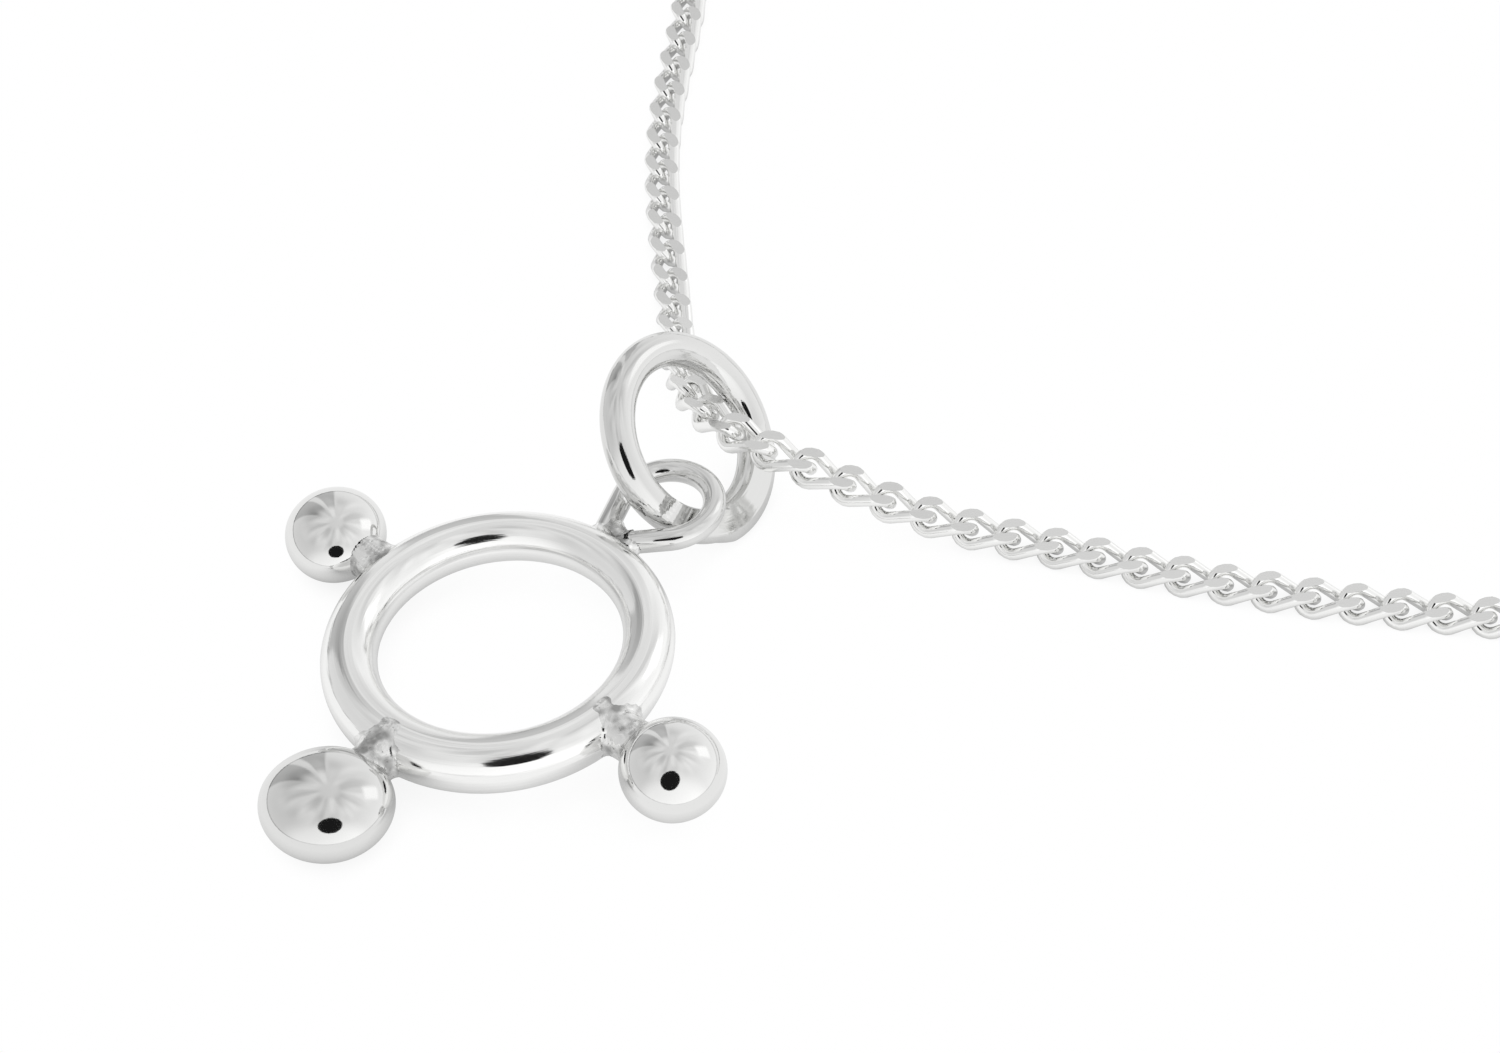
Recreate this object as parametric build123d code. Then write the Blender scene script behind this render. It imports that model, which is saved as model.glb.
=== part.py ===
from build123d import *
import copy
import math
import os

# A silver necklace lying on a flat floor, in millimetres, +Z up.
# A wire ring with three melted balls hangs by a small loop from a jump ring, and the
# jump ring rides on a closed curb chain. The pieces are laid out about a point on the floor
# beside the pendant, and the whole is then moved so that the origin is the middle of its
# footprint, on the floor.

# Clearances
hang_gap = 0.15          # between rings that are threaded through one another
ball_flat = 0.05         # how much of a resting ball's underside is flat

# Pendant ring
ring_radius = 6.75       # centreline
ring_wire = 2.44

# Balls: half sizes along X, Y and Z, place around the ring, and distance from the ring's outer
# wall to the ball's middle
ball_back = (2.34, 2.56, 1.74)
ball_back_angle = 136.2
ball_back_reach = 2.93
ball_back_lift = -0.054  # its middle above the ring's middle plane
ball_front = (2.99, 2.88, 1.93)
ball_front_angle = -129.7
ball_front_reach = 3.23
ball_right = (2.37, 2.52, 1.94)
ball_right_angle = -44.2
ball_right_reach = 3.06
neck_waist = 1.05        # radius of a solder neck where it is thinnest
neck_flare = 0.30        # how much wider it is inside the ring and the ball
neck_depth = 1.10        # how far short of the ball's middle it ends

# Small open loop soldered to the ring
loop_angle = 47.5
loop_radius = 2.18       # centreline
loop_wire = 1.07
loop_reach = 3.06        # from the ring's outer wall to the loop's centre
loop_near_bend = 135.5   # how far the near side of the loop bends before its straight leg
loop_near_press = 0.16   # how deep the near leg's blunt end sits in the ring's outer wall
loop_far_bend = 112.5    # the far leg reaches the ring's centreline
solder_foot = 0.95       # a leg's flare of solder: radius inside the ring's wire
solder_top = 0.50        # radius where it runs out along the leg
solder_climb = 2.20

# Jump ring
jump_radius = 4.243      # centreline
jump_wire = 1.638
jump_heading = -25.0     # direction that the ring's face turns to, about +Z from +X
jump_lean = 47.0         # between the ring's plane and the floor
jump_inset = 0.60        # the loop's centre lies this far inside the ring's centreline
jump_offset = 0.18       # and this far behind the ring's plane
jump_hang_angle = 72.6   # from the ring's lowest point to the loop
flat_width = 2.10        # flattened stretch, across the ring
flat_height = 1.30       # flattened stretch, through the ring, before its faces are flat
flat_faces = 1.10        # between its two flat faces
flat_start = -22.0       # from the ring's lowest point, positive away from the loop
flat_end = 42.0
flat_blend = 12.0

# Curb chain
link_pitch = 2.0
link_wire = 0.50
link_half_width = 0.65   # half the distance between a link's side wires
link_side_run = 0.45     # half the straight stretch of a side wire, along the chain
link_play = 0.24         # slack between two links
link_flats = 1.10        # thickness between the filed faces

# Clasp and end rings
clasp_radius = 2.30
clasp_wire = 1.00
clasp_knob = 0.32        # radius of the thumb knob
clasp_knob_reach = 0.75
end_ring_radius = 1.50
end_ring_wire = 0.60
end_ring_roll = 57.0

# Layout: the small loop's centre, the clasp's centre and direction, and the chain's way round,
# whose third value is the lift above a chain that lies on the floor.
loop_place = (-3.79, -1.50)
clasp_place = (113.8, 110.8)
clasp_heading = 135.0
route_points = [
    (102.0, 120.4, 0.0), (84.0, 128.4, 0.0), (62.0, 131.0, 0.0), (36.0, 124.6, 0.0),
    (14.5, 108.6, 0.0), (0.9, 86.5, 0.0), (-3.1, 60.0, 0.0), (-3.3, 36.2, 0.0),
    (-4.31, 28.2, 0.0), (-4.4, 22.3, 0.0), (-4.1, 18.25, 0.02), (-3.76, 14.27, 0.14),
    (-3.48, 10.37, 0.85), (-2.93, 6.5, 2.05), (-2.2, 4.6, 2.57), (-0.98, 2.93, 2.9),
    (0.61, 1.74, 2.92), (2.43, 0.98, 2.56), (6.11, -0.12, 1.4), (9.9, -1.06, 0.52),
    (13.81, -1.87, 0.08), (17.77, -3.05, 0.0), (25.53, -4.97, 0.0), (33.34, -6.16, 0.0),
    (50.0, -7.3, 0.0), (68.0, -7.0, 0.0), (92.0, -1.6, 0.0), (113.0, 12.5, 0.0),
    (128.0, 34.0, 0.0), (133.9, 60.0, 0.0), (131.0, 83.0, 0.0), (123.4, 99.4, 0.0),
]


def direction(angle, slope=0.0):
    turn = math.radians(angle)
    rise = math.radians(slope)
    return Vector(math.cos(turn) * math.cos(rise), math.sin(turn) * math.cos(rise), math.sin(rise))


def wire_ring(radius, wire):
    return Torus(radius, wire / 2)


def wire_along(edge, wire):
    section = Plane(edge @ 0, z_dir=edge % 0) * Circle(wire / 2)
    if edge.geom_type == GeomType.LINE:
        return extrude(section, amount=edge.length, dir=edge % 0)
    turn = math.degrees(edge.length / edge.radius)
    return revolve(section, Axis(edge.arc_center, edge.normal()), revolution_arc=turn)


# The jump ring stands on its lowest point and leans back through the small loop.
hang = math.radians(jump_hang_angle)
hang_down = (jump_radius - jump_inset) * math.cos(hang)
hang_side = (jump_radius - jump_inset) * math.sin(hang)
steep = math.radians(jump_lean)
jump_foot = math.hypot(flat_width / 2 * math.sin(steep), flat_height / 2 * math.cos(steep))
jump_height = jump_radius * math.sin(steep) + jump_foot
loop_height = jump_height - hang_down * math.sin(steep) - jump_offset * math.cos(steep)


def outward(angle, reach):
    return direction(angle) * (ring_radius + ring_wire / 2 + reach)


# The pendant rests on its back and front balls and leans up to its loop.
loop_distance = ring_radius + ring_wire / 2 + loop_reach
loop_x = loop_distance * math.cos(math.radians(loop_angle))
loop_y = loop_distance * math.sin(math.radians(loop_angle))
back_x = outward(ball_back_angle, ball_back_reach).X
front_x = outward(ball_front_angle, ball_front_reach).X
lean = math.asin((loop_height - ball_back[2] + ball_flat + ball_back_lift) / (loop_x - back_x))
ring_height = loop_height - loop_x * math.sin(lean)
ball_front_lift = (ball_front[2] - ball_flat - ring_height - front_x * math.sin(lean)) / math.cos(lean)
ring_place = Vector(loop_place[0] - loop_x * math.cos(lean), loop_place[1] - loop_y, ring_height)


# Pendant, flat in its own plane with the ring's centre at its origin. Only the balls are level with
# the floor.
def neck(start, end):
    wide = neck_waist + neck_flare
    outline = Polyline((start, wide), (start, 0), (end, 0), (end, wide))
    outline += ThreePointArc((start, wide), ((start + end) / 2, neck_waist), (end, wide))
    return revolve(make_face(outline), Axis.X)


def ball(size, angle, reach, lift):
    middle = outward(angle, reach)
    melted = Pos(middle + Vector(0, 0, lift)) * Rot(0, math.degrees(lean), 0) * scale(Sphere(1), by=size)
    return melted + Rot(0, 0, angle) * neck(ring_radius, middle.length - neck_depth)


def solder_flare(foot, way):
    flare = Cone(solder_foot, solder_top, solder_climb, align=(Align.CENTER, Align.CENTER, Align.MIN))
    return Plane(foot, z_dir=way) * flare


def loop_leg(bend, side, reach):
    # A straight leg from the end of its bend until its axis is at this reach from the ring's centre.
    turn = math.radians(bend)
    middle = Vector(loop_distance, 0, 0)
    tip = middle + Vector(math.cos(turn), side * math.sin(turn), 0) * loop_radius
    way = Vector(-math.sin(turn), side * math.cos(turn), 0)
    offset = loop_distance * math.cos(turn) + loop_radius
    run = loop_distance * math.sin(turn) - math.sqrt(reach**2 - offset**2)
    return Line(tip, tip + way * run)


def small_loop():
    # The far leg runs into the ring's wire. The near one ends against the ring, with its corner
    # filled by solder.
    whole_bend = loop_near_bend + loop_far_bend
    bow = CenterArc((loop_distance, 0, 0), loop_radius, -loop_near_bend, whole_bend)
    far = loop_leg(loop_far_bend, 1, ring_radius)
    near = loop_leg(loop_near_bend, -1, ring_radius + (ring_wire + loop_wire) / 2 - loop_near_press)
    out = (near @ 1).normalized()
    solid = wire_along(bow, loop_wire) + wire_along(far, loop_wire) + wire_along(near, loop_wire)
    solid += solder_flare(far @ 1, (far % 1) * -1)
    solid += solder_flare(out * ring_radius, out)
    return Rot(0, 0, loop_angle) * solid


pendant = wire_ring(ring_radius, ring_wire)
pendant += ball(ball_back, ball_back_angle, ball_back_reach, ball_back_lift)
pendant += ball(ball_front, ball_front_angle, ball_front_reach, ball_front_lift)
pendant += ball(ball_right, ball_right_angle, ball_right_reach, 0.0)
pendant += small_loop()
pendant = Pos(ring_place) * Rot(0, -math.degrees(lean), 0) * pendant
pendant -= Pos(ring_place.X, ring_place.Y, -5) * Box(60, 60, 10)

# Jump ring, with +X of its own plane at its lowest point
face = direction(jump_heading, 90 - jump_lean)
across = direction(jump_heading + 90)
down = across.cross(face)
jump_centre = Vector(*loop_place, loop_height) - down * hang_down + across * hang_side + face * jump_offset


def ring_section(angle, flattened):
    outline = Ellipse(flat_width / 2, flat_height / 2) if flattened else Circle(jump_wire / 2)
    return Rot(0, 0, angle) * Pos(jump_radius, 0, 0) * Rot(90, 0, 0) * outline


def ring_stretch(section, turn):
    return revolve(section, Axis.Z, revolution_arc=turn)


blend_start = flat_start - flat_blend
blend_end = flat_end + flat_blend
jump_ring = ring_stretch(ring_section(blend_end, False), 360 + blend_start - blend_end)
jump_ring += ring_stretch(ring_section(flat_start, True), flat_end - flat_start)
jump_ring += loft([ring_section(blend_start, False), ring_section(flat_start, True)])
jump_ring += loft([ring_section(flat_end, True), ring_section(blend_end, False)])
for side in (1, -1):
    shaving = Pos(jump_radius, 0, side * (flat_faces / 2 + 1)) * Rot(90, 0, 0) * Rectangle(flat_width * 2, 2)
    jump_ring -= ring_stretch(Rot(0, 0, flat_start - 3) * shaving, flat_end - flat_start + 6)
jump_ring = Plane(jump_centre, x_dir=down, z_dir=face) * jump_ring

# One curb link about its own middle, +X along the chain and +Z out of its filed face. Two side wires
# cross the middle at a slope, and each end is a pair of arcs that meet at the link's tip. The side
# wires climb just far enough to run smoothly into the arcs.
link_half = (link_pitch + link_wire + link_play) / 2
tip_run = link_half - link_side_run
link_climb = math.sqrt((tip_run**2 - link_half_width**2) * link_side_run / (link_side_run + 2 * tip_run))


def curb_link():
    high = Vector(-link_side_run, link_half_width, link_climb)
    low = Vector(link_side_run, link_half_width, -link_climb)
    tip = Vector(-link_half, 0, 0)
    side = Line(low, high)
    upper = TangentArc(high, tip, tangent=side % 1)
    lower = TangentArc(tip, Vector(high.X, -high.Y, -high.Z), tangent=upper % 1)
    half = wire_along(side, link_wire) + wire_along(upper, link_wire) + wire_along(lower, link_wire)
    whole = half + Rot(0, 0, 180) * half
    return (whole & Box(link_pitch * 2, link_pitch * 2, link_flats)).solid()


# Clasp and its two end rings, along the chain's way at the far side of the loop
ring_tip = clasp_radius - (clasp_wire + end_ring_wire) / 2 - hang_gap
end_ring_reach = ring_tip + end_ring_radius
chain_tip = end_ring_reach + end_ring_radius - (end_ring_wire + link_wire) / 2 - hang_gap
chain_reach = chain_tip + link_half - link_pitch / 2
end_height = end_ring_radius * math.sin(math.radians(end_ring_roll)) + end_ring_wire / 2
clasp_middle = Pos(*clasp_place, end_height) * Rot(0, 0, clasp_heading)

knob = Cylinder(clasp_knob, clasp_wire / 2 + clasp_knob_reach, align=(Align.CENTER, Align.CENTER, Align.MIN))
knob = Pos(0, -clasp_radius, 0) * Rot(90, 0, 0) * knob
clasp = clasp_middle * (wire_ring(clasp_radius, clasp_wire) + knob)
end_rings = []
for side in (1, -1):
    place = clasp_middle * Pos(side * end_ring_reach, 0, 0) * Rot(-side * end_ring_roll, 0, 0)
    end_rings.append(place * wire_ring(end_ring_radius, end_ring_wire))

# The chain's way starts and ends at the end rings. Each link spans two hinge points on it, and a
# hinge is never lower than in a link that lies on the floor.
lying = link_flats / 2
way = [(x, y, lying + lift) for x, y, lift in route_points]
start = (clasp_middle * Pos(chain_reach, 0, 0)).position
finish = (clasp_middle * Pos(-chain_reach, 0, 0)).position
route = Spline(start, *way, finish)
link_count = round(route.length / link_pitch)
hinges = [route @ (i / link_count) for i in range(link_count + 1)]
hinges = [Vector(hinge.X, hinge.Y, max(hinge.Z, lying)) for hinge in hinges]
seats = []
for before, after in zip(hinges, hinges[1:]):
    ahead = (after - before).normalized()
    side = Vector(0, 0, 1).cross(ahead)
    seats.append(Plane((before + after) / 2, x_dir=ahead, z_dir=ahead.cross(side)).location)
link = curb_link()


def chain_from(home):
    links = []
    for seat in seats:
        one = copy.copy(link)
        one.location = home * seat
        links.append(one)
    return Compound(children=links)


# The origin goes to the middle of the footprint, on the floor.
single = {
    "pendant": pendant,
    "jump_ring": jump_ring,
    "clasp": clasp,
    "end_ring_start": end_rings[0],
    "end_ring_finish": end_rings[1],
}
boxes = [chain_from(Pos(0, 0, 0)).bounding_box()] + [piece.bounding_box() for piece in single.values()]
left = min(box.min.X for box in boxes)
right = max(box.max.X for box in boxes)
near = min(box.min.Y for box in boxes)
far = max(box.max.Y for box in boxes)
home = Pos(-(left + right) / 2, -(near + far) / 2, 0)

os.makedirs("parts", exist_ok=True)
for name, piece in single.items():
    export_step(home * piece, f"parts/{name}.step")
export_step(chain_from(home), "parts/chain.step")
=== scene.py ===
# %% [markdown]
# # A silver circle necklace in a light tent
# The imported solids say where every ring, ball and link lies, so this lesson only dresses them. The
# pendant is a ring of round wire with three melted balls, soldered to a small loop. The loop hangs in a
# jump ring, and the jump ring rides on a curb chain. Everything is polished silver, which shows little
# of its own and much of what stands around it, so the tent around it gets as much care as the metal.

# %% The frame
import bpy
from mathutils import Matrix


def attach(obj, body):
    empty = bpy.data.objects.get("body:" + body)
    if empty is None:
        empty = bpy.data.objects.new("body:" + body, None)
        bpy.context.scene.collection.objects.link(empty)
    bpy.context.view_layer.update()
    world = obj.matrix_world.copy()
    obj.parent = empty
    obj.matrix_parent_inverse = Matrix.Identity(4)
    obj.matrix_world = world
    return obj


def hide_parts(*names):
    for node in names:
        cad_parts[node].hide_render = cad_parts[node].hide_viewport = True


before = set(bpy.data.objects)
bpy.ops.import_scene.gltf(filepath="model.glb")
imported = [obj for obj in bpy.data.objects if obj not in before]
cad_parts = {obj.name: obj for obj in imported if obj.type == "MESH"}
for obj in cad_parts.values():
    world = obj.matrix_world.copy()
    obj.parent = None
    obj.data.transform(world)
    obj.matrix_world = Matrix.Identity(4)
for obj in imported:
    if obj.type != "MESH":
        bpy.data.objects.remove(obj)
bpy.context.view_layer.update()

# %% [markdown]
# Jewellery is measured in millimetres and Blender in metres, so every length below is written in
# millimetres and multiplied by one name. One function turns the usual hex colours to the linear values
# that the shaders need, one starts a material with an empty node tree, and one adds any kind of node with
# its settings and its links.

# %% Small helpers
import math
import bmesh
import bpy
import numpy as np
from mathutils import Matrix, Vector, noise

mm = 0.001


def linear(hex_colour):
    parts = [int(hex_colour[i:i + 2], 16) / 255 for i in (0, 2, 4)]
    return [p / 12.92 if p <= 0.04045 else ((p + 0.055) / 1.055) ** 2.4 for p in parts] + [1.0]


def blank_material(name):
    material = bpy.data.materials.new(name)
    material.use_nodes = True
    material.node_tree.nodes.clear()
    return material, material.node_tree


def add_node(tree, kind, settings=None, feeds=None):
    node = tree.nodes.new(kind)
    for name, value in (settings or {}).items():
        if isinstance(name, int) or name in node.inputs:
            node.inputs[name].default_value = value
        else:
            setattr(node, name, value)
    for name, socket in (feeds or {}).items():
        tree.links.new(socket, node.inputs[name])
    return node


print("one millimetre is", mm, "m")

# %% [markdown]
# Silver gives back nearly all light, in every channel alike. No buffed surface is perfectly flat: the
# felt leaves soft waves of about a millimetre, which bend the reflections, and hair scratches of a few
# hundredths of a millimetre. The scratches are drawn about 0.06 mm wide, or the render wouldn't show
# them. Wire also keeps the long lines of the plate that it was drawn through. They run along it, so they
# are a noise of the place in the wire's cross section, which each piece of drawn wire carries as an
# attribute in millimetres. Three bumps in a row carry the waves, the scratches and the lines.

# %% One silver for all pieces
hair_spacing, hair_stretch, hair_turn = 0.9, 14, (0.5, 0.3, 0.8)
draw_line_spacing = 0.28


def silver(name, tone, roughness, wave, wave_size, scratch, draw=0.0):
    """Sterling silver. wave, scratch and draw are depths and wave_size a spacing, in millimetres."""
    material, tree = blank_material(name)
    place = add_node(tree, "ShaderNodeTexCoord").outputs["Object"]
    waves = add_node(tree, "ShaderNodeTexNoise", {"Scale": 1000 / wave_size, "Detail": 1.0},
                     {"Vector": place})
    turned = add_node(tree, "ShaderNodeMapping",
                      {"Rotation": hair_turn, "Scale": (1, hair_stretch, hair_stretch)}, {"Vector": place})
    hairs = add_node(tree, "ShaderNodeTexNoise", {"Scale": 1000 / hair_spacing, "Detail": 3.0},
                     {"Vector": turned.outputs[0]})
    smear = add_node(tree, "ShaderNodeMapRange", {"To Min": roughness * 0.7, "To Max": roughness * 1.5},
                     {"Value": hairs.outputs["Fac"]})
    bend = add_node(tree, "ShaderNodeBump", {"Strength": 1.0, "Distance": wave * mm},
                    {"Height": waves.outputs["Fac"]})
    lines = add_node(tree, "ShaderNodeBump", {"Strength": 1.0, "Distance": scratch * mm},
                     {"Height": hairs.outputs["Fac"], "Normal": bend.outputs[0]})
    section = add_node(tree, "ShaderNodeAttribute", {"attribute_name": "section"})
    drawn = add_node(tree, "ShaderNodeTexNoise",
                     {"Scale": 1 / draw_line_spacing, "Detail": 3.0, "Roughness": 0.65},
                     {"Vector": section.outputs["Vector"]})
    draw_lines = add_node(tree, "ShaderNodeBump", {"Strength": 1.0, "Distance": draw * mm},
                          {"Height": drawn.outputs["Fac"], "Normal": lines.outputs[0]})
    shader = add_node(tree, "ShaderNodeBsdfPrincipled", {"Base Color": linear(tone), "Metallic": 1.0},
                      {"Roughness": smear.outputs[0], "Normal": draw_lines.outputs[0]})
    add_node(tree, "ShaderNodeOutputMaterial", feeds={"Surface": shader.outputs[0]})
    return material


print("draw lines lie about", draw_line_spacing, "mm apart")

# %% [markdown]
# Every finish is the same metal, more or less buffed. The balls were buffed to a mirror, a roughness of
# 0.05 that keeps reflections sharp, and the largest is a little duller. The ring's clean wire is the
# palest, 0.93 in each channel, and has the deepest draw lines, so its bands of light have soft edges. The
# loop and the jump ring are worn to 0.76 and look darker. The flat faces of the links come straight from
# the file, with a roughness of 0.18, and look an even grey.

# %% The six finishes
mirror_silver = silver("sterling_silver_buffed", "EAEAE9", 0.05, 0.004, 1.6, 0.0006)
duller_silver = silver("sterling_silver_duller", "E4E4E3", 0.06, 0.004, 1.6, 0.0006)
wire_silver = silver("sterling_silver_wire", "F6F6F5", 0.07, 0.006, 0.9, 0.0012)
drawn_silver = silver("sterling_silver_drawn", "F7F7F6", 0.09, 0.004, 1.4, 0.0006, 0.015)
worn_silver = silver("sterling_silver_worn", "E2E2E1", 0.06, 0.005, 1.4, 0.0008, 0.012)
filed_silver = silver("sterling_silver_filed", "E6E6E5", 0.18, 0.002, 0.9, 0.003)
silvers = (mirror_silver, duller_silver, wire_silver, drawn_silver, worn_silver, filed_silver)
print("finishes:", *(finish.name for finish in silvers))

# %% [markdown]
# Hard solder that ran into the joints was pickled but hardly buffed, so it stays grey and grainy, with
# pits where the flux boiled. Patches of 0.8 mm are paler and smoother or greyer and rougher. The grains
# are 0.16 mm across and the pits a third of a millimetre apart.

# %% Solder
grain_size, patch_size, pit_spacing = 0.16, 0.8, 0.32
grit_depth, pit_depth = 0.014, 0.03
solder, tree = blank_material("hard_silver_solder")
place = add_node(tree, "ShaderNodeTexCoord").outputs["Object"]
grains = add_node(tree, "ShaderNodeTexNoise", {"Scale": 1000 / grain_size, "Detail": 2.0},
                  {"Vector": place})
patches = add_node(tree, "ShaderNodeTexNoise", {"Scale": 1000 / patch_size, "Detail": 2.0},
                   {"Vector": place})
pits = add_node(tree, "ShaderNodeTexVoronoi", {"Scale": 1000 / pit_spacing}, {"Vector": place})
deep = add_node(tree, "ShaderNodeMapRange", {"From Min": 0.05, "From Max": 0.3},
                {"Value": pits.outputs["Distance"]})
blotch = add_node(tree, "ShaderNodeMapRange",
                  {"From Min": 0.42, "From Max": 0.6, "To Min": 0.10, "To Max": 0.34},
                  {"Value": patches.outputs["Fac"]})
greyer = add_node(tree, "ShaderNodeMapRange", {"From Min": 0.45, "From Max": 0.65},
                  {"Value": patches.outputs["Fac"]})
tone = add_node(tree, "ShaderNodeMix", {"data_type": "RGBA", "A": linear("EEEEED"), "B": linear("A6A6A5")},
                {"Factor": greyer.outputs[0]})
grit = add_node(tree, "ShaderNodeBump", {"Strength": 1.0, "Distance": grit_depth * mm},
                {"Height": grains.outputs["Fac"]})
hollow = add_node(tree, "ShaderNodeBump", {"Strength": 1.0, "Distance": pit_depth * mm},
                  {"Height": deep.outputs[0], "Normal": grit.outputs[0]})
shader = add_node(tree, "ShaderNodeBsdfPrincipled", {"Metallic": 1.0},
                  {"Base Color": tone.outputs[2], "Roughness": blotch.outputs[0],
                   "Normal": hollow.outputs[0]})
add_node(tree, "ShaderNodeOutputMaterial", feeds={"Surface": shader.outputs[0]})
print("finish:", solder.name)

# %% [markdown]
# Every piece is drawn at its place in the frame, in a bmesh that counts in millimetres, and one function
# finishes it: doubled points are merged, the faces are turned outwards, and the mesh is scaled to metres.
# The object itself stays at the origin. An edge is crisp where its faces meet at more than a given angle.

# %% Finishing a piece
doubled = 0.0005


def finished(name, bm, finishes, stands_for=(), sharp=None):
    """Makes an object of the bmesh. stands_for names the solids that it covers. sharp is in degrees."""
    bmesh.ops.remove_doubles(bm, verts=bm.verts, dist=doubled)
    bmesh.ops.recalc_face_normals(bm, faces=bm.faces)
    bm.transform(Matrix.Scale(mm, 4))
    mesh = bpy.data.meshes.new(name)
    bm.to_mesh(mesh)
    bm.free()
    mesh.shade_smooth()
    if sharp is not None:
        mesh.set_sharp_from_angle(angle=math.radians(sharp))
    for finish in finishes:
        mesh.materials.append(finish)
    piece = bpy.data.objects.new(name, mesh)
    bpy.context.scene.collection.objects.link(piece)
    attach(piece, "root")
    if stands_for:
        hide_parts(*stands_for)
    print(name, "has", len(mesh.polygons), "faces")
    return piece


print("points closer than", doubled, "mm are merged")

# %% [markdown]
# Nearly everything here is wire. A wire starts as its end, a loop of edges that is spun round a middle or
# drawn out straight. Points of a wire that goes round can then note where they lie in its cross section,
# which is what the draw lines read.

# %% Wire
def wire_end(bm, radius, place, sides):
    """A loop of edges that the wire is spun or drawn out of. place has its Z along the wire."""
    made = bmesh.ops.create_circle(bm, cap_ends=False, radius=radius, segments=sides, matrix=place)
    return list({e for v in made["verts"] for e in v.link_edges})


def spin_wire(bm, edges, middle, axis, angle, steps, whole=False):
    points = list({v for e in edges for v in e.verts})
    made = bmesh.ops.spin(bm, geom=points + edges, cent=middle, axis=axis, angle=angle, steps=steps,
                          use_merge=whole, use_duplicate=False)
    return [g for g in made["geom_last"] if isinstance(g, bmesh.types.BMEdge)]


def round_wire(radius, wire, sides, steps):
    """A whole ring of round wire, flat round +Z."""
    bm = bmesh.new()
    upright = Matrix.Translation((radius, 0, 0)) @ Matrix.Rotation(math.pi / 2, 4, "X")
    end = wire_end(bm, wire / 2, upright, sides)
    spin_wire(bm, end, (0, 0, 0), (0, 0, 1), 2 * math.pi, steps, whole=True)
    return bm


def keep_section(bm, radius):
    """Stores where each point lies in the cross section of a wire that goes round +Z."""
    layer = bm.verts.layers.float_vector.new("section")
    for point in bm.verts:
        point[layer] = (math.hypot(point.co.x, point.co.y) - radius, point.co.z, 0)


print("wire is spun out of a loop of edges")

# %% [markdown]
# The ring is plain round wire of 2.44 mm, bent to 13.5 mm across its centreline and leaning five degrees,
# because two of its balls rest on the floor and the jump ring holds up the side with the loop. A wire end
# that is spun once round the middle makes it. The wire was bent by hand, so it swells by a tenth of a
# millimetre on the side of the largest ball.

# %% The pendant's ring
ring_radius, ring_wire = 6.75, 2.44
ring_middle = Vector((-67.943, -65.0465, 2.425))
lean = math.radians(4.967)
swell_share, swell_turn = 0.085, math.radians(-122)
pendant_place = Matrix.Translation(ring_middle) @ Matrix.Rotation(-lean, 4, "Y")


def ring_core(turn):
    return Vector((math.cos(turn), math.sin(turn), 0)) * ring_radius


def swell(turn):
    return 1 + swell_share * math.cos(turn - swell_turn)


bm = round_wire(ring_radius, ring_wire, 64, 288)
for point in bm.verts:
    turn = math.atan2(point.co.y, point.co.x)
    core = ring_core(turn)
    point.co = core + (point.co - core) * swell(turn)
keep_section(bm, ring_radius)
bm.transform(pendant_place)
finished("pendant_ring", bm, [drawn_silver], ["pendant"])

# %% [markdown]
# The balls are scraps of silver that were melted on a block, so each is a little flattened and no two
# are alike. A sphere is squashed to each ball's own measures, and the right one sags to a flatter place
# in front, which shows a larger lens in it. A slow noise of a few hundredths of a millimetre takes away
# the look of a turned bead, and what would dip under the floor is pressed flat.

# %% The three balls
balls = {
    "back": dict(size=(2.34, 2.56, 1.74), angle=136.2, reach=10.90, lift=-0.054, flow=1.4),
    "front": dict(size=(2.99, 2.88, 1.93), angle=-129.7, reach=11.20, lift=0.077, flow=2.3),
    "right": dict(size=(2.37, 2.52, 1.94), angle=-44.2, reach=11.03, lift=0.0, flow=2.3),
}
sag_place, sag_share, sag_reach = Vector((0.20, -0.76, 0.62)), 0.060, 0.60
wave_scale, wave_share = 0.45, 0.010
for which, ball in balls.items():
    turn = math.radians(ball["angle"])
    flat = Vector((math.cos(turn), math.sin(turn), 0))
    ball["joint"] = pendant_place @ (flat * (ring_radius + ring_wire / 2))
    middle = pendant_place @ (flat * ball["reach"] + Vector((0, 0, ball["lift"])))
    bm = bmesh.new()
    bmesh.ops.create_uvsphere(bm, u_segments=112, v_segments=72, radius=1.0)
    if which == "right":
        for point in bm.verts:
            point.co *= 1 - sag_share * math.exp(-(point.co.angle(sag_place) / sag_reach) ** 2)
    bm.transform(Matrix.Diagonal((*ball["size"], 1)))
    for point in bm.verts:
        wave = noise.noise(point.co * wave_scale + Vector((ball["angle"], 0, 0)))
        point.co *= 1 + wave_share * wave
        point.co += middle
        point.co.z = max(point.co.z, 0.0)
    finished("pendant_ball_" + which, bm, [duller_silver if which == "front" else mirror_silver])

# %% [markdown]
# The small loop is thinner wire, bent round and soldered to the ring by both ends. Its arc is spun from
# a wire end. The far leg is drawn out until it ends inside the ring, and the near one is short, with a
# blunt end that lies against the ring's outer wall. Each end is rounded in three short steps.

# %% The pendant's loop
loop_angle, loop_radius, loop_wire, loop_reach = 47.5, 2.18, 1.07, 3.06
near_bend, far_bend = math.radians(135.5), math.radians(112.5)
near_run, far_run = 1.62, 3.7
blunt_end = ((0.16, 0.88), (0.10, 0.6), (0.02, 0.05))
loop_distance = ring_radius + ring_wire / 2 + loop_reach
loop_place = (pendant_place @ Matrix.Rotation(math.radians(loop_angle), 4, "Z")
              @ Matrix.Translation((loop_distance, 0, 0)))

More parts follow.
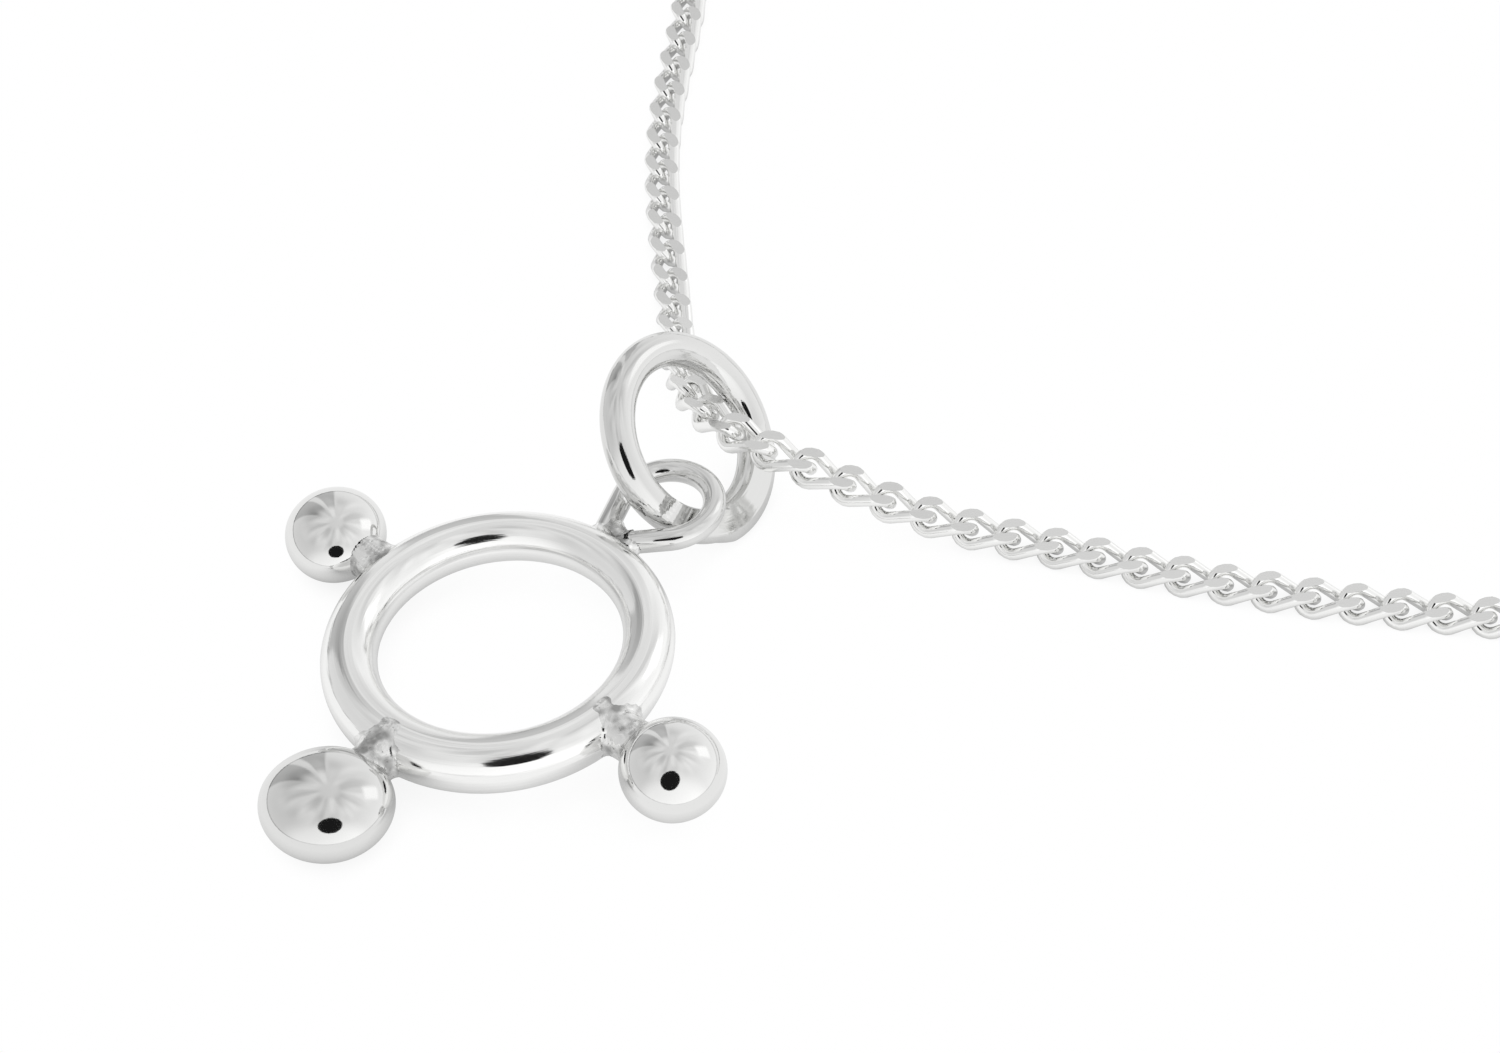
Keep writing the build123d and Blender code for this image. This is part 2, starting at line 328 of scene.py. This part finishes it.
bm = bmesh.new()
start = (Matrix.Rotation(-near_bend, 4, "Z") @ Matrix.Translation((loop_radius, 0, 0))
         @ Matrix.Rotation(math.pi / 2, 4, "X"))
first = wire_end(bm, loop_wire / 2, start, 40)
last = spin_wire(bm, first, (0, 0, 0), (0, 0, 1), near_bend + far_bend, 110)
keep_section(bm, loop_radius)
feet = []
for side, bend, run, edges in ((-1, near_bend, near_run, first), (1, far_bend, far_run, last)):
    way = Vector((-math.sin(bend), side * math.cos(bend), 0))
    feet.append(Vector((math.cos(bend), side * math.sin(bend), 0)) * loop_radius + way * run)
    for step, width in ((run, 1.0), *blunt_end):
        drawn = bmesh.ops.extrude_edge_only(bm, edges=edges)["geom"]
        points = [g for g in drawn if isinstance(g, bmesh.types.BMVert)]
        edges = [g for g in drawn if isinstance(g, bmesh.types.BMEdge) and len(g.link_faces) == 1]
        bmesh.ops.translate(bm, vec=way * step, verts=points)
        middle = sum((p.co for p in points), Vector()) / len(points)
        old = max((p.co - middle).length for p in points)
        narrower = (loop_wire / 2 * width / old,) * 3
        bmesh.ops.scale(bm, vec=narrower, space=Matrix.Translation(-middle), verts=points)
bm.transform(loop_place)
finished("pendant_loop", bm, [worn_silver])

# %% [markdown]
# Solder fills the corners where ball, loop and ring meet. A copy of the solid pendant, with two more
# drops between the loop's legs, is remeshed finely and smoothed. Smoothing draws round surfaces in by a
# hair and fills inner corners, so the copy shows above the clean pieces only where solder would sit.

# %% Solder runs into the corners
drops = ((Vector((-2.66, 0.60, 0)), 0.46), (Vector((-2.32, 0.84, 0)), 0.30))
bm = bmesh.new()
bm.from_mesh(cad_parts["pendant"].data)
bm.transform(Matrix.Scale(1 / mm, 4))
bmesh.ops.remove_doubles(bm, verts=bm.verts, dist=doubled)
for spot, size in drops:
    bmesh.ops.create_icosphere(bm, subdivisions=3, radius=size,
                               matrix=loop_place @ Matrix.Translation(spot))
mesh = bpy.data.meshes.new("solder_blank")
bm.to_mesh(mesh)
bm.free()
blank = bpy.data.objects.new("solder_blank", mesh)
bpy.context.scene.collection.objects.link(blank)
remesh = blank.modifiers.new("remesh", "REMESH")
remesh.mode, remesh.voxel_size = "VOXEL", 0.09
smooth = blank.modifiers.new("smooth", "SMOOTH")
smooth.factor, smooth.iterations = 0.5, 24
flowed = bpy.data.meshes.new_from_object(blank.evaluated_get(bpy.context.evaluated_depsgraph_get()))
bpy.data.objects.remove(blank)
print("the smoothed copy has", len(flowed.vertices), "points")

# %% [markdown]
# What lies far from a joint is cut away. The rest swells with the ring and is made lumpy with noise of
# three sizes, and its rim is pressed a little into the clean metal, so that no edge stands up.

# %% Solder at the joints
joints = [(ball["joint"], ball["flow"]) for ball in balls.values()]
joints += [(loop_place @ feet[1], 1.7), (loop_place @ Vector((-3.15, -0.5, 0)), 0.7)]
joints += [(loop_place @ spot, 0.8) for spot, size in drops]
fill, lump_height = 0.02, 0.08
sunk, rim_sunk, rim_share = 0.015, 0.05, 0.2
lump_sizes = ((1.1, 0.6), (3.1, 0.28), (7, 0.12))
held_within, free_beyond = 1.4, 2.0
bm = bmesh.new()
bm.from_mesh(flowed)
bm.verts.ensure_lookup_table()
bm.normal_update()
far = []
for point in bm.verts:
    near = max(1 - (point.co - middle).length / reach for middle, reach in joints)
    if near < 0:
        far.append(point)
        continue
    flat = pendant_place.inverted() @ point.co
    turn = math.atan2(flat.y, flat.x)
    core = ring_core(turn)
    hold = max(0.0, min(1.0, (free_beyond - (flat - core).length) / (free_beyond - held_within)))
    lump = sum(noise.noise(point.co * scale) * share for scale, share in lump_sizes)
    sink = sunk + rim_sunk * max(0.0, 1 - near / rim_share)
    rise = point.normal * (min(near * 2, 1) * (fill + lump_height * lump) - sink)
    point.co = pendant_place @ (core + (flat - core) * (1 + hold * (swell(turn) - 1))) + rise
bmesh.ops.delete(bm, geom=far, context="VERTS")
finished("pendant_solder", bm, [solder])

# %% [markdown]
# The jump ring is heavier wire that was closed without solder. Its lowest stretch was flattened between
# two smooth faces. The plain ring is spun first, and then the points of that stretch are spread across
# the ring and pressed in through it, with short blends at both ends. On its upper side the file went
# further back, up to the pendant's loop, and left a steep little facet, a slanting crease and a slight
# facet before the flat face begins. The facets' slopes are in millimetres a degree.

# %% The jump ring's measures
jump_radius, jump_wire = 4.243, 1.638
flat_width, flat_height, flat_faces = 2.10, 1.30, 1.10
flat_start, flat_end, flat_blend, flat_lead = -22.0, 42.0, 12.0, 3.0
facet_start, crease_turn, crease_slant = -85.0, -76.5, 5.0
facet_dip, steep_facet, slight_facet = 0.05, 0.030, 0.010
jump_middle = Vector((-59.6044, -53.5054, 3.990))
heading, steep = math.radians(-25), math.radians(47)
face = Vector((math.cos(heading) * math.sin(steep), math.sin(heading) * math.sin(steep), math.cos(steep)))
across = Vector((-math.sin(heading), math.cos(heading), 0))
down = across.cross(face)
jump_place = Matrix.Translation(jump_middle) @ Matrix((down, across, face)).transposed().to_4x4()


def facet_height(degrees, depth):
    crease = crease_turn - crease_slant * depth
    if degrees < crease:
        return flat_faces / 2 - facet_dip + steep_facet * (crease - degrees)
    return min(flat_faces / 2, flat_faces / 2 - facet_dip + slight_facet * (degrees - crease))


print("the jump ring is", round(2 * jump_radius + jump_wire, 2), "mm across")

# %% [markdown]
# Angles are counted from the ring's lowest point. A point's depth is how far out it lies in the wire, and
# its rise how far up.

# %% The jump ring
bm = round_wire(jump_radius, jump_wire, 56, 240)
for point in bm.verts:
    turn = math.atan2(point.co.y, point.co.x)
    degrees = math.degrees(turn)
    share = min((degrees - flat_start) / flat_blend + 1, (flat_end - degrees) / flat_blend + 1)
    share = max(0.0, min(1.0, share))
    out = Vector((math.cos(turn), math.sin(turn), 0))
    depth = point.co.dot(out) - jump_radius
    spread = 1 + share * (flat_width / jump_wire - 1)
    rise = point.co.z * (1 + share * (flat_height / jump_wire - 1))
    if flat_start - flat_lead < degrees < flat_end + flat_lead:
        rise = max(-flat_faces / 2, min(flat_faces / 2, rise))
    elif facet_start < degrees <= flat_start - flat_lead:
        rise = min(facet_height(degrees, depth), rise)
    point.co = out * (jump_radius + depth * spread) + Vector((0, 0, rise))
keep_section(bm, jump_radius)
bm.transform(jump_place)
finished("jump_ring_wire", bm, [worn_silver], ["jump_ring"], sharp=15)

# %% [markdown]
# A curb link goes up and down as well as round, so its wire follows arcs that lie in any direction. An
# arc is fixed by where it starts, which way it leaves and where it ends, and from these three its middle
# and its angle follow.

# %% Wire along an arc
def along(tangent, place):
    return Matrix.Translation(place) @ tangent.to_track_quat("Z", "Y").to_matrix().to_4x4()


def bend_to(bm, edges, start, tangent, goal, steps):
    """Spins the wire end from start to goal on the arc that leaves start along tangent."""
    chord = goal - start
    inward = (chord - tangent * chord.dot(tangent)).normalized()
    radius = chord.length_squared / (2 * chord.dot(inward))
    axis = tangent.cross(inward)
    angle = 2 * tangent.angle(chord)
    edges = spin_wire(bm, edges, start + inward * radius, axis, angle, steps)
    return edges, Matrix.Rotation(angle, 3, axis) @ tangent


print("an arc needs a start, a way and a goal")

# %% [markdown]
# One curb link is a flattened oval that was twisted, so that each link lies nearly flat in its
# neighbours, and then filed on both sides of the chain. A wire end is taken along two arcs, a straight
# side and two more arcs, and the last side is bridged, because after a twisted path the two ends no
# longer match point for point. Two cuts file the faces, which take the second finish.

# %% A curb link
link_pitch, link_wire, link_half_width, side_run = 2.0, 0.56, 0.60, 0.45
link_play, link_flats = 0.20, 1.10
link_half = (link_pitch + link_wire + link_play) / 2
tip_run = link_half - side_run
climb = math.sqrt((tip_run**2 - link_half_width**2) * side_run / (side_run + 2 * tip_run))


def curb_link(sides, steps):
    high = Vector((-side_run, link_half_width, climb))
    low = Vector((side_run, link_half_width, -climb))
    tangent = (high - low).normalized()
    bm = bmesh.new()
    first = wire_end(bm, link_wire / 2, along(tangent, high), sides)
    last, place = first, high
    half_turn = Matrix.Rotation(math.pi, 3, "Z")
    for side in (0, 1):
        for goal in (Vector((-link_half, 0, 0)), Vector((high.x, -high.y, -high.z))):
            goal = half_turn @ goal if side else goal
            last, tangent = bend_to(bm, last, place, tangent, goal, steps)
            place = goal
        if side == 0:
            drawn = bmesh.ops.extrude_edge_only(bm, edges=last)["geom"]
            last = [g for g in drawn if isinstance(g, bmesh.types.BMEdge) and len(g.link_faces) == 1]
            run = half_turn @ high - place
            bmesh.ops.translate(bm, vec=run, verts=list({v for e in last for v in e.verts}))
            place = place + run
    bmesh.ops.bridge_loops(bm, edges=last + first)
    for side in (1, -1):
        bmesh.ops.bisect_plane(bm, geom=bm.verts[:] + bm.edges[:] + bm.faces[:], dist=1e-5,
                               plane_co=(0, 0, side * link_flats / 2), plane_no=(0, 0, side),
                               clear_outer=True)
        filed = bmesh.ops.holes_fill(bm, edges=[e for e in bm.edges if e.is_boundary], sides=0)["faces"]
        for flat in filed:
            flat.material_index = 1
    bmesh.ops.recalc_face_normals(bm, faces=bm.faces)
    return bm


near_link, far_link = curb_link(24, 6), curb_link(6, 2)
print("a link in view has", len(near_link.faces), "faces and a far one", len(far_link.faces))

# %% [markdown]
# The solids hold each link where it lies. Every link of the solid chain has the same points, so they are
# read as one block each: the middle of a block is the link's middle, and its longest and shortest
# directions are the link's own. A link looks the same after half a turn about any of its axes, so it
# doesn't matter which way round a direction comes out.

# %% Where the links lie
chain_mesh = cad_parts["chain"].data
points = np.zeros(len(chain_mesh.vertices) * 3)
chain_mesh.vertices.foreach_get("co", points)
points = points.reshape(-1, 3) / mm
link_count = 222
blocks = points.reshape(link_count, -1, 3)
link_places = []
for block in blocks:
    middle = block.mean(0)
    axes = np.linalg.eigh((block - middle).T @ (block - middle))[1]
    ahead, side, up = axes[:, 2], axes[:, 1], axes[:, 0]
    side = side * np.sign(np.dot(np.cross(ahead, side), up))
    own = np.stack([ahead, side, up], axis=1)
    inside = (block - middle) @ own
    middle = middle + own @ ((inside.max(0) + inside.min(0)) / 2)
    link_places.append(Matrix.Translation(middle) @ Matrix((ahead, side, up)).transposed().to_4x4())
print(link_count, "links of", blocks.shape[1], "points")

# %% [markdown]
# The camera sees about fifty links from near by. These get a finely rounded wire, and the rest of the
# chain gets a few dozen faces a link, which is plenty from where it can be seen whole.

# %% The chain
front_row, front_end, left_row, left_end = -5, -10, -45, 10


def in_view(place):
    """True on the chain's run along the front and on its run up the left."""
    x, y = place.translation.x, place.translation.y
    return y < front_row and x < front_end or x < left_row and y < left_end


for name, link, wanted in (("chain_links_near", near_link, True), ("chain_links_far", far_link, False)):
    chain = bmesh.new()
    one = bpy.data.meshes.new("one_link")
    for place in link_places:
        if in_view(place) == wanted:
            copy = link.copy()
            copy.transform(place)
            copy.to_mesh(one)
            copy.free()
            chain.from_mesh(one)
    finished(name, chain, [wire_silver, filed_silver], ["chain"], sharp=18)
    bpy.data.meshes.remove(one)

# %% [markdown]
# The clasp and its two end rings lie at the far corner and keep their solid shapes, which are right as
# they are. They only take the same silver wire finish.

# %% Clasp and end rings
for name in ("clasp", "end_ring_start", "end_ring_finish"):
    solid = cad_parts[name]
    for slot in solid.material_slots:
        slot.material = wire_silver
    print(name, "wears", wire_silver.name)

# %% [markdown]
# A light tent is a white cloth bag with the camera's lens through its front, over a lit white floor.
# Everything in it glows, so each part is a plain mesh with an emission material. The parts belong to the
# stage and not to the necklace, and only the floor is seen by the camera itself.

# %% Parts of the stage
def stage_piece(name, bm, finish, seen=False):
    mesh = bpy.data.meshes.new(name)
    bm.to_mesh(mesh)
    bm.free()
    mesh.shade_smooth()
    mesh.materials.append(finish)
    piece = bpy.data.objects.new(name, mesh)
    bpy.context.scene.collection.objects.link(piece)
    piece.visible_camera = seen
    return piece


def glowing(name, strength):
    material, tree = blank_material(name)
    glow = add_node(tree, "ShaderNodeEmission", {"Strength": strength})
    add_node(tree, "ShaderNodeOutputMaterial", feeds={"Surface": glow.outputs[0]})
    return material, tree, glow


tent_middle, tent_radius = Vector((-0.060, -0.062, 0)), 0.5
print("tent of", tent_radius, "m around the pendant")

# %% [markdown]
# The floor is white acrylic with light under it. Seen straight it is white, with a faint painted shade
# where a piece comes within a few millimetres. In the silver it shows greyer, with deeper painted shade,
# so that the undersides stand out. Ambient occlusion tells how open each spot is and sets the painted
# shade in the glow, and the light path tells who looks.

# %% The floor
floor_radius, floor_gap, shade_reach = 1.5, 0.03, 5
acrylic, tree, glow = glowing("lit_white_acrylic", 1.0)
open_sky = add_node(tree, "ShaderNodeAmbientOcclusion",
                    {"samples": 6, "Distance": shade_reach * mm}).outputs["AO"]
# painted shade: the glow drops to 0.84 for the camera and to 0.30 in the silver where pieces are near
seen = add_node(tree, "ShaderNodeMapRange", {"From Max": 0.5, "To Min": 0.84, "To Max": 1.0},
                {"Value": open_sky})
painted_shade_in_silver = add_node(tree, "ShaderNodeMapRange", {"To Min": 0.30, "To Max": 0.95}, {"Value": open_sky})
ray = add_node(tree, "ShaderNodeLightPath").outputs["Is Camera Ray"]
lit = add_node(tree, "ShaderNodeMix", feeds={"Factor": ray, "A": painted_shade_in_silver.outputs[0], "B": seen.outputs[0]})
tree.links.new(lit.outputs[0], glow.inputs["Strength"])
bm = bmesh.new()
bmesh.ops.create_circle(bm, cap_ends=True, radius=floor_radius, segments=96,
                        matrix=Matrix.Translation((0, 0, -floor_gap * mm)))
floor = stage_piece("floor", bm, acrylic, seen=True)
print(floor.name, "is", round(floor.dimensions.x, 1), "m across")

# %% [markdown]
# The cloth's walls are brightest low down. The front, where the lamps stand, is paler still, the right
# side is a little brighter than the left, and a grey hem runs round the floor, which every ball shows as
# a fine dark line. Each of these depends only on the direction in which the silver looks.

# %% The tent's walls
tent_cloth, tree, glow = glowing("tent_cloth", 1.0)
place = add_node(tree, "ShaderNodeTexCoord").outputs["Object"]
toward = add_node(tree, "ShaderNodeVectorMath", {"operation": "NORMALIZE"}, {0: place})
part = add_node(tree, "ShaderNodeSeparateXYZ", feeds={0: toward.outputs[0]})
walls = add_node(tree, "ShaderNodeMapRange",
                 {"From Min": 0.0, "From Max": 1.0, "To Min": 0.91, "To Max": 0.75},
                 {"Value": part.outputs["Z"]})
forward = add_node(tree, "ShaderNodeMath", {"operation": "MULTIPLY", 1: -1.0}, {0: part.outputs["Y"]})
front = add_node(tree, "ShaderNodeMapRange",
                 {"interpolation_type": "SMOOTHSTEP", "From Min": 0.35, "From Max": 0.8, "To Max": 0.22},
                 {"Value": forward.outputs[0]})
hem = add_node(tree, "ShaderNodeMapRange",
               {"interpolation_type": "SMOOTHSTEP", "From Min": 0.055, "From Max": 0.035},
               {"Value": part.outputs["Z"]})
print("walls glow at", walls.inputs["To Min"].default_value, "low down")

# %% [markdown]
# The cloth is gathered at the top, a little behind the middle, and its folds run down from there. They
# are a soft noise of the direction round the gathering. A share of the plain direction makes them wander,
# and they fade out low down and at the gathering itself.

# %% Gathered folds
gathered = add_node(tree, "ShaderNodeMapping", {"Rotation": (math.radians(16.9), math.radians(2.3), 0)},
                    {"Vector": toward.outputs[0]})
fold = add_node(tree, "ShaderNodeSeparateXYZ", feeds={0: gathered.outputs[0]})
level = add_node(tree, "ShaderNodeCombineXYZ", feeds={"X": fold.outputs["X"], "Y": fold.outputs["Y"]})
spoke = add_node(tree, "ShaderNodeVectorMath", {"operation": "NORMALIZE"}, {0: level.outputs[0]})
wander = add_node(tree, "ShaderNodeVectorMath", {"operation": "MULTIPLY_ADD", 1: (0.9, 0.9, 0.9)},
                  {0: toward.outputs[0], 2: spoke.outputs[0]})
pleats = add_node(tree, "ShaderNodeTexNoise", {"Scale": 1.35, "Detail": 1.2}, {"Vector": wander.outputs[0]})
pleat_tone = add_node(tree, "ShaderNodeMapRange",
                      {"From Min": 0.36, "From Max": 0.64, "To Min": -0.15, "To Max": 0.12},
                      {"Value": pleats.outputs["Fac"]})
above = add_node(tree, "ShaderNodeMapRange",
                 {"interpolation_type": "SMOOTHSTEP", "From Min": 0.42, "From Max": 0.85},
                 {"Value": fold.outputs["Z"]})
below = add_node(tree, "ShaderNodeMapRange",
                 {"interpolation_type": "SMOOTHSTEP", "From Min": 0.998, "From Max": 0.965},
                 {"Value": fold.outputs["Z"]})
between = add_node(tree, "ShaderNodeMath", {"operation": "MULTIPLY"},
                   {0: above.outputs[0], 1: below.outputs[0]})
folds = add_node(tree, "ShaderNodeMath", {"operation": "MULTIPLY"},
                 {0: pleat_tone.outputs[0], 1: between.outputs[0]})
print("folds darken by", round(-pleat_tone.inputs["To Min"].default_value, 2), "at most")

# %% [markdown]
# Two darker panels are sewn in far left, and each ball shows them as two grey wedges. A colour ramp over
# the azimuth round the gathering draws them, and they end short of it. At last all shares are added up.

# %% Darker panels and the whole tent
azimuth = add_node(tree, "ShaderNodeMath", {"operation": "ARCTAN2"},
                   {0: fold.outputs["Y"], 1: fold.outputs["X"]})
half_turns = add_node(tree, "ShaderNodeMath", {"operation": "DIVIDE", 1: math.pi}, {0: azimuth.outputs[0]})
panels = add_node(tree, "ShaderNodeValToRGB", feeds={"Fac": half_turns.outputs[0]})
ramp = panels.color_ramp
ramp.interpolation = "LINEAR"
stops = ((0.0, 0), (0.54, 0), (0.55, 1), (0.625, 1), (0.635, 0),
         (0.665, 0), (0.675, 0.85), (0.80, 0.85), (0.82, 0), (1, 0))
while len(ramp.elements) < len(stops):
    ramp.elements.new(0.5)
for element, (where, grey) in zip(ramp.elements, stops):
    element.position, element.color = where, (grey, grey, grey, 1)
short_of_top = add_node(tree, "ShaderNodeMapRange",
                        {"interpolation_type": "SMOOTHSTEP", "From Min": 0.93, "From Max": 0.8},
                        {"Value": fold.outputs["Z"]})
dark_panels = add_node(tree, "ShaderNodeMath", {"operation": "MULTIPLY"},
                       {0: panels.outputs["Color"], 1: short_of_top.outputs[0]})
right_share, panel_share, hem_share = 0.15, -0.32, -0.3
total = walls.outputs[0]
for amount, share in ((part.outputs["X"], right_share), (front.outputs[0], 1.0), (folds.outputs[0], 1.0),
                      (dark_panels.outputs[0], panel_share), (hem.outputs[0], hem_share)):
    added = add_node(tree, "ShaderNodeMath", {"operation": "MULTIPLY_ADD", 1: share}, {0: amount, 2: total})
    total = added.outputs[0]
tree.links.new(total, glow.inputs["Strength"])
bm = bmesh.new()
bmesh.ops.create_uvsphere(bm, u_segments=96, v_segments=48, radius=tent_radius)
tent = stage_piece("light_tent", bm, tent_cloth)
tent.location = tent_middle
print("the tent's glow takes", len(tree.nodes), "nodes")

# %% [markdown]
# The camera stands where the photographer stood: 0.2 m from the pendant, 47 degrees above the floor, with
# a 100 mm lens. Its front glass is the one black thing in the tent, a disc that each ball shows as a dot.

# %% Camera and lens
pitch, distance, glass_radius = math.radians(46.93), 0.19531, 0.054
aim = (ring_middle + Vector((11.2138, 9.6322, -2.425))) * mm
lens_place = aim + Vector((0, -math.cos(pitch), math.sin(pitch))) * distance
data = bpy.data.cameras.new("camera")
data.lens, data.sensor_width, data.clip_start, data.clip_end = 100.5, 36.0, 0.005, 20.0
camera = bpy.data.objects.new("camera", data)
camera.location = lens_place
camera.rotation_euler = (math.pi / 2 - pitch, 0, 0)
bpy.context.scene.collection.objects.link(camera)
bpy.context.scene.camera = camera

lens_black, tree, glow = glowing("lens_black", 0.012)
bm = bmesh.new()
bmesh.ops.create_circle(bm, cap_ends=True, radius=glass_radius, segments=64)
disc = stage_piece("front_glass", bm, lens_black)
disc.location, disc.rotation_euler = lens_place, camera.rotation_euler
print("camera at", [round(v / mm, 1) for v in lens_place], "mm")

# %% [markdown]
# A lamp behind the cloth makes a bright window on the right, which is the small white patch on every
# ball. Its edges are soft, because the cloth spreads the light, so the sheet turns transparent there.

# %% The window
window_light, tree, glow = glowing("lamp_behind_cloth", 1.2)
window_width, window_height, window_distance, soft_edge = 0.18, 0.22, 0.4, 0.05
place = add_node(tree, "ShaderNodeTexCoord").outputs["Object"]
from_middle = add_node(tree, "ShaderNodeVectorMath", {"operation": "ABSOLUTE"}, {0: place})
part = add_node(tree, "ShaderNodeSeparateXYZ", feeds={0: from_middle.outputs[0]})
wide = add_node(tree, "ShaderNodeMapRange",
                {"interpolation_type": "SMOOTHSTEP", "From Min": window_width / 2,
                 "From Max": window_width / 2 - soft_edge}, {"Value": part.outputs["X"]})
tall = add_node(tree, "ShaderNodeMapRange",
                {"interpolation_type": "SMOOTHSTEP", "From Min": window_height / 2,
                 "From Max": window_height / 2 - soft_edge}, {"Value": part.outputs["Y"]})
inside = add_node(tree, "ShaderNodeMath", {"operation": "MULTIPLY"},
                  {0: wide.outputs[0], 1: tall.outputs[0]})
clear = add_node(tree, "ShaderNodeBsdfTransparent")
soft = add_node(tree, "ShaderNodeMixShader",
                feeds={0: inside.outputs[0], 1: clear.outputs[0], 2: glow.outputs[0]})
tree.links.new(soft.outputs[0], tree.nodes["Material Output"].inputs["Surface"])
to_window = Vector((0.72, 0.43, 0.54)).normalized()
bm = bmesh.new()
bmesh.ops.create_grid(bm, x_segments=1, y_segments=1, size=0.5)
bm.transform(Matrix.Diagonal((window_width, window_height, 1, 1)))
window = stage_piece("side_window", bm, window_light)
window.location = tent_middle + to_window * window_distance
window.rotation_euler = to_window.to_track_quat("Z", "Y").to_euler()
print("window", window_width, "by", window_height, "m")

# %% [markdown]
# The picture is plain white behind the object, so the world is white too, and the view is the standard
# one, which leaves the greys as they are.

# %% World, view and the end
scene = bpy.context.scene
scene.world = bpy.data.worlds.new("white_paper")
scene.world.use_nodes = True
scene.world.node_tree.nodes["Background"].inputs["Color"].default_value = (1, 1, 1, 1)
scene.view_settings.view_transform = "Standard"
